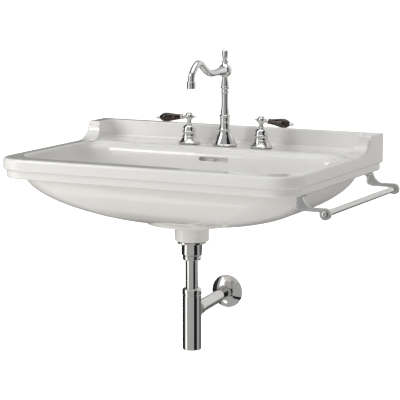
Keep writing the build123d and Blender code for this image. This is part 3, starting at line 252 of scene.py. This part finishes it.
def grainGroup():
    # fine relief: pores, orange peel, or brushed lines when the coordinates are stretched
    group, given, result = startGroup(
        "grain",
        [("Coordinates", "NodeSocketVector", None), ("Scale", "NodeSocketFloat", 300.0),
         ("Detail", "NodeSocketFloat", 2.0)],
        [("Height", "NodeSocketFloat")],
    )
    noise = group.nodes.new("ShaderNodeTexNoise")
    link = group.links.new
    link(given.outputs["Coordinates"], noise.inputs["Vector"])
    link(given.outputs["Scale"], noise.inputs["Scale"])
    link(given.outputs["Detail"], noise.inputs["Detail"])
    link(noise.outputs["Fac"], result.inputs["Height"])
    return group


mottle = mottleGroup()
waterSpots = spotGroup()
grain = grainGroup()


def newMaterial(name):
    material = bpy.data.materials.new(name)
    material.use_nodes = True
    tree = material.node_tree
    coordinates = tree.nodes.new("ShaderNodeTexCoord").outputs["Object"]
    return material, tree, tree.nodes["Principled BSDF"], coordinates


def useGroup(tree, group, coordinates, **values):
    node = tree.nodes.new("ShaderNodeGroup")
    node.node_tree = group
    tree.links.new(coordinates, node.inputs["Coordinates"])
    for name, value in values.items():
        node.inputs[name].default_value = value
    return node.outputs[0]


def stretched(tree, coordinates, scale):
    mapping = tree.nodes.new("ShaderNodeMapping")
    mapping.inputs["Scale"].default_value = scale
    tree.links.new(coordinates, mapping.inputs["Vector"])
    return mapping.outputs["Vector"]


def blendColours(tree, mask, first, second):
    ramp = tree.nodes.new("ShaderNodeValToRGB")
    ramp.color_ramp.elements[0].color = (*first, 1)
    ramp.color_ramp.elements[1].color = (*second, 1)
    tree.links.new(mask, ramp.inputs["Fac"])
    return ramp.outputs["Color"]


def addBump(tree, shader, height, strength, distance):
    bump = tree.nodes.new("ShaderNodeBump")
    bump.inputs["Strength"].default_value = strength
    bump.inputs["Distance"].default_value = distance
    tree.links.new(height, bump.inputs["Height"])
    tree.links.new(bump.outputs["Normal"], shader.inputs["Normal"])


def metalFinish(name, light, dark, low, high, grainScale=0, grainStrength=0.0, spots=0.0, stretch=(1, 1, 1)):
    material, tree, shader, place = newMaterial(name)
    shader.inputs["Metallic"].default_value = 1.0
    cloud = useGroup(tree, mottle, place, Scale=14.0, Low=0.0, High=1.0)
    tree.links.new(blendColours(tree, cloud, dark, light), shader.inputs["Base Color"])
    film = useGroup(tree, mottle, place, Scale=42.0, Low=low, High=high)
    if spots:
        mask = useGroup(tree, waterSpots, place, Scale=55.0, Size=0.16)
        add = tree.nodes.new("ShaderNodeMath")
        add.operation = "MULTIPLY_ADD"
        add.inputs[1].default_value = spots
        tree.links.new(mask, add.inputs[0])
        tree.links.new(film, add.inputs[2])
        film = add.outputs["Value"]
    tree.links.new(film, shader.inputs["Roughness"])
    if grainStrength:
        relief = useGroup(tree, grain, stretched(tree, place, stretch), Scale=grainScale)
        addBump(tree, shader, relief, grainStrength, 0.0004)
    return material


def glazedCeramic():
    material, tree, shader, place = newMaterial("glazedCeramic")
    cloud = useGroup(tree, mottle, place, Scale=5.0, Low=0.0, High=1.0)
    tree.links.new(blendColours(tree, cloud, glaze["deepTone"], glaze["tone"]), shader.inputs["Base Color"])
    tree.links.new(
        useGroup(tree, mottle, place, Scale=30.0, Low=glaze["smooth"], High=glaze["smudged"]),
        shader.inputs["Roughness"],
    )
    shader.inputs["Specular IOR Level"].default_value = 0.55
    shader.inputs["Coat Weight"].default_value = 0.2
    shader.inputs["Coat Roughness"].default_value = 0.05
    addBump(tree, shader, useGroup(tree, grain, place, Scale=38.0, Detail=1.0), glaze["wave"], 0.002)
    return material


def marbledGrip():
    material, tree, shader, place = newMaterial("marbledGrip")
    warp = tree.nodes.new("ShaderNodeTexNoise")
    warp.inputs["Scale"].default_value = 60.0
    warp.inputs["Detail"].default_value = 4.0
    tree.links.new(place, warp.inputs["Vector"])
    mix = tree.nodes.new("ShaderNodeMix")
    mix.data_type = "VECTOR"
    mix.inputs["Factor"].default_value = 0.06
    tree.links.new(place, mix.inputs["A"])
    tree.links.new(warp.outputs["Color"], mix.inputs["B"])
    veins = tree.nodes.new("ShaderNodeTexVoronoi")
    veins.feature = "DISTANCE_TO_EDGE"
    veins.inputs["Scale"].default_value = 62.0
    tree.links.new(mix.outputs["Result"], veins.inputs["Vector"])
    ramp = tree.nodes.new("ShaderNodeValToRGB")
    steps = ramp.color_ramp.elements
    steps[0].color = (*grip["vein"], 1)
    steps[1].position, steps[1].color = 0.04, (*grip["amber"], 1)
    steps.new(0.10).color = (*grip["brown"], 1)
    steps.new(0.24).color = (*grip["black"], 1)
    tree.links.new(veins.outputs["Distance"], ramp.inputs["Fac"])
    tree.links.new(ramp.outputs["Color"], shader.inputs["Base Color"])
    tree.links.new(useGroup(tree, mottle, place, Scale=90.0, Low=0.08, High=0.2), shader.inputs["Roughness"])
    shader.inputs["Specular IOR Level"].default_value = 0.2
    shader.inputs["Coat Weight"].default_value = 0.55
    shader.inputs["Coat Roughness"].default_value = 0.02
    return material


def softFinish(name, tone, deepTone, low, high, grainScale, grainStrength):
    material, tree, shader, place = newMaterial(name)
    cloud = useGroup(tree, mottle, place, Scale=60.0, Low=0.0, High=1.0)
    tree.links.new(blendColours(tree, cloud, deepTone, tone), shader.inputs["Base Color"])
    film = useGroup(tree, mottle, place, Scale=120.0, Low=low, High=high)
    tree.links.new(film, shader.inputs["Roughness"])
    addBump(tree, shader, useGroup(tree, grain, place, Scale=grainScale), grainStrength, 0.0003)
    return material


glaze = {
    "tone": (0.87, 0.86, 0.84),
    "deepTone": (0.845, 0.833, 0.81),
    "smooth": 0.10,
    "smudged": 0.125,
    "wave": 0.012,
}
grip = {
    "vein": (0.20, 0.12, 0.075),
    "amber": (0.030, 0.014, 0.009),
    "brown": (0.009, 0.005, 0.004),
    "black": (0.003, 0.0025, 0.0025),
}
finishes = {
    "glazed_ceramic": glazedCeramic(),
    "chrome": metalFinish("polishedChrome", (0.80, 0.795, 0.79), (0.73, 0.725, 0.72), 0.03, 0.075,
                          spots=0.03),
    "satin_bracket": metalFinish("satinBracket", (0.66, 0.66, 0.655), (0.58, 0.58, 0.575), 0.20, 0.30,
                                 grainScale=260.0, grainStrength=0.15, stretch=(1, 1, 0.12)),
    "marbled_grip": marbledGrip(),
    "brass": metalFinish("castBrass", (0.72, 0.55, 0.26), (0.55, 0.40, 0.17), 0.25, 0.45,
                         grainScale=900.0, grainStrength=0.3),
    "zinc_steel": metalFinish("zincSteel", (0.68, 0.69, 0.70), (0.52, 0.53, 0.50), 0.25, 0.4,
                              grainScale=700.0, grainStrength=0.2),
    "rubber": softFinish("rubber", (0.035, 0.035, 0.036), (0.02, 0.02, 0.02), 0.55, 0.75, 1500.0, 0.3),
    "white_plastic": softFinish("whitePlastic", (0.82, 0.82, 0.80), (0.76, 0.76, 0.73), 0.3, 0.42,
                                900.0, 0.1),
}
for entry in frame["record"]["subparts"]:
    node = frame["nodes"][entry["node"]]
    node.data.materials.clear()
    node.data.materials.append(finishes[entry["material_slot"]])
print("scene: finishes")

# ---- ceramic ----


def finishPiece(name, bm, body, slot, replaced=(), flatAbove=40):
    # a smooth-shaded piece of the part, with edges steeper than flatAbove kept crisp
    bmesh.ops.recalc_face_normals(bm, faces=bm.faces)
    mesh = bpy.data.meshes.new(name)
    bm.to_mesh(mesh)
    bm.free()
    mesh.materials.append(finishes[slot])
    mesh.shade_smooth()
    piece = bpy.data.objects.new(name, mesh)
    bpy.context.scene.collection.objects.link(piece)
    mesh.set_sharp_from_angle(angle=radians(flatAbove))
    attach(piece, body)
    if replaced:
        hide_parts(*replaced)
    return piece


cove = {
    "radius": 0.009,
    "sunk": 0.0006,
    "halfWidth": 0.353,
    "wallY": -0.025,
    "cornerRadius": 0.020,
    "scoopStart": -0.090,
    "scoopLength": 0.060,
    "scoopHeight": 0.036,
    "scoopShare": 0.93,
    "taper": 0.55,
    "arcSteps": 8,
    "cornerSteps": 10,
    "sideSteps": 14,
}


def coveFrames():
    # places along the foot of the backsplash, turned away from the wall and scaled to its height
    corner = cove["cornerRadius"]
    side = []
    for step in range(cove["sideSteps"] + 1):
        along = step / cove["sideSteps"]
        y = cove["scoopStart"] - cove["scoopLength"] * cove["scoopShare"] * (1 - along)
        drop = (cove["scoopStart"] - y) / cove["scoopLength"]
        height = cove["scoopHeight"] * (1 - (1 - (1 - drop) ** 2) ** 0.5)
        side.append((cove["halfWidth"], y, 0.0, min(1.0, cove["taper"] * height / cove["radius"])))
    for step in range(cove["cornerSteps"] + 1):
        turn = radians(90 * step / cove["cornerSteps"])
        side.append((
            cove["halfWidth"] - corner * (1 - cos(turn)),
            cove["wallY"] - corner * (1 - sin(turn)), turn, 1.0,
        ))
    mirrored = [(-x, y, pi - turn, scale) for x, y, turn, scale in reversed(side)]
    return [
        Matrix.Translation((x, y, deckZ)) @ Matrix.Rotation(turn + pi, 4, "Z") @ Matrix.Scale(scale, 4)
        for x, y, turn, scale in side + mirrored
    ]


def splashCove():
    bm = bmesh.new()
    radius, sunk = cove["radius"], cove["sunk"]
    outline = [(-sunk, -sunk), (radius, -sunk)]
    for step in range(cove["arcSteps"] + 1):
        turn = radians(90 * step / cove["arcSteps"])
        outline.append((radius * (1 - sin(turn)), radius * (1 - cos(turn))))
    outline.append((-sunk, radius))
    section = [bm.verts.new((x, 0, z)) for x, z in outline]
    edges = [bm.edges.new(pair) for pair in zip(section, section[1:] + section[:1])]
    frames = coveFrames()
    bmesh.ops.transform(bm, matrix=frames[0], verts=section)
    bm.faces.new(section)
    for before, after in zip(frames, frames[1:]):
        grown = bmesh.ops.extrude_edge_only(bm, edges=edges)["geom"]
        edges = [item for item in grown if isinstance(item, bmesh.types.BMEdge) and item.is_boundary]
        moved = [item for item in grown if isinstance(item, bmesh.types.BMVert)]
        bmesh.ops.transform(bm, matrix=after @ before.inverted(), verts=moved)
    bmesh.ops.holes_fill(bm, edges=edges, sides=0)
    finishPiece("splashCove", bm, "root", "glazed_ceramic", flatAbove=50)


splashCove()
print("scene: ceramic")

# ---- metal pieces with eased edges ----

# piece: node, body, width of the eased edge, steepness that counts as an edge
easedPieces = {
    "frontBracket": ("rail_front_bracket", "root", 0.0009, 40),
    "backBracket": ("rail_back_bracket", "root", 0.0009, 40),
    "endCaps": ("rail_end_caps", "root", 0.0003, 35),
    "wasteNut": ("waste_nut", "root", 0.0006, 35),
    "tailNut": ("tail_nut", "root", 0.0005, 35),
    "trapNut": ("trap_top_nut", "root", 0.0004, 30),
    "aeratorRing": ("aerator_ring", "spout", 0.0004, 35),
    "spoutLockNut": ("spout_lock_nut", "root", 0.0006, 35),
    "valveLockNuts": ("valve_lock_nuts", "root", 0.0006, 35),
}
weldDistance = 0.00001
flatWithin = 0.5


def easedCopy(name, node, body, width, steepness):
    # a welded copy of a node's mesh with its hard edges rounded over
    source = frame["nodes"][node]
    slots = {entry["node"]: entry["material_slot"] for entry in frame["record"]["subparts"]}
    bm = bmesh.new()
    bm.from_mesh(source.data)
    bmesh.ops.transform(bm, matrix=source.matrix_world, verts=bm.verts)
    bmesh.ops.remove_doubles(bm, verts=bm.verts, dist=weldDistance)
    bmesh.ops.dissolve_limit(bm, angle_limit=radians(flatWithin), verts=bm.verts, edges=bm.edges)
    hard = [
        edge for edge in bm.edges
        if len(edge.link_faces) == 2 and edge.calc_face_angle(0) > radians(steepness)
    ]
    bmesh.ops.bevel(
        bm, geom=hard, offset=width, offset_type="OFFSET", affect="EDGES", segments=2, profile=0.5,
        material=-1, clamp_overlap=True,
    )
    finishPiece(name, bm, body, slots[node], replaced=(node,))


for pieceName, settings in easedPieces.items():
    easedCopy(pieceName, *settings)
print("scene: metal pieces")

# ---- lever grips ----

# outline as distance from the hub and radius, in millimetres
gripShape = {
    "outline": [
        (22.5, 2.1), (22.5, 5.9), (23.1, 6.5), (26, 6.75), (31, 7.15), (38, 8.1), (46, 9.5),
        (54, 10.9), (61, 11.65), (66, 11.7), (70, 11.1), (74, 9.7), (77.5, 7.8), (80, 5.9),
        (81.5, 4.6), (82, 4.2), (82, 2.1),
    ],
    "millimetre": 0.001,
    "hubHeight": 0.070,
    "turn": 4.0,
    "droop": 3.6,
    "steps": 32,
}


def leverGrip(name, node, body, side):
    # turned drop of marbled resin on the lever's rod
    bm = bmesh.new()
    unit = gripShape["millimetre"]
    outline = [bm.verts.new((along * unit, 0, radius * unit)) for along, radius in gripShape["outline"]]
    edges = [bm.edges.new(pair) for pair in zip(outline, outline[1:] + outline[:1])]
    bmesh.ops.spin(
        bm, geom=outline + edges, cent=(0, 0, 0), axis=(1, 0, 0), angle=2 * pi,
        steps=gripShape["steps"], use_merge=True,
    )
    turn, droop = radians(gripShape["turn"]), radians(gripShape["droop"])
    along = Vector((side * cos(turn) * cos(droop), -sin(turn) * cos(droop), -sin(droop)))
    across = Vector((0, 0, 1)).cross(along).normalized()
    placed = Matrix((along, across, along.cross(across))).transposed().to_4x4()
    hub = Matrix.Translation((side * tapPlace[0], tapPlace[1], deckZ + gripShape["hubHeight"]))
    bmesh.ops.transform(bm, matrix=hub @ placed, verts=bm.verts)
    piece = finishPiece(name, bm, body, "marbled_grip", replaced=(node,), flatAbove=45)
    smooth = piece.modifiers.new("smooth", "SUBSURF")
    smooth.levels = smooth.render_levels = 1


leverGrip("hotGrip", "hot_lever", "hot_handle", -1)
leverGrip("coldGrip", "cold_lever", "cold_handle", 1)
print("scene: lever grips")
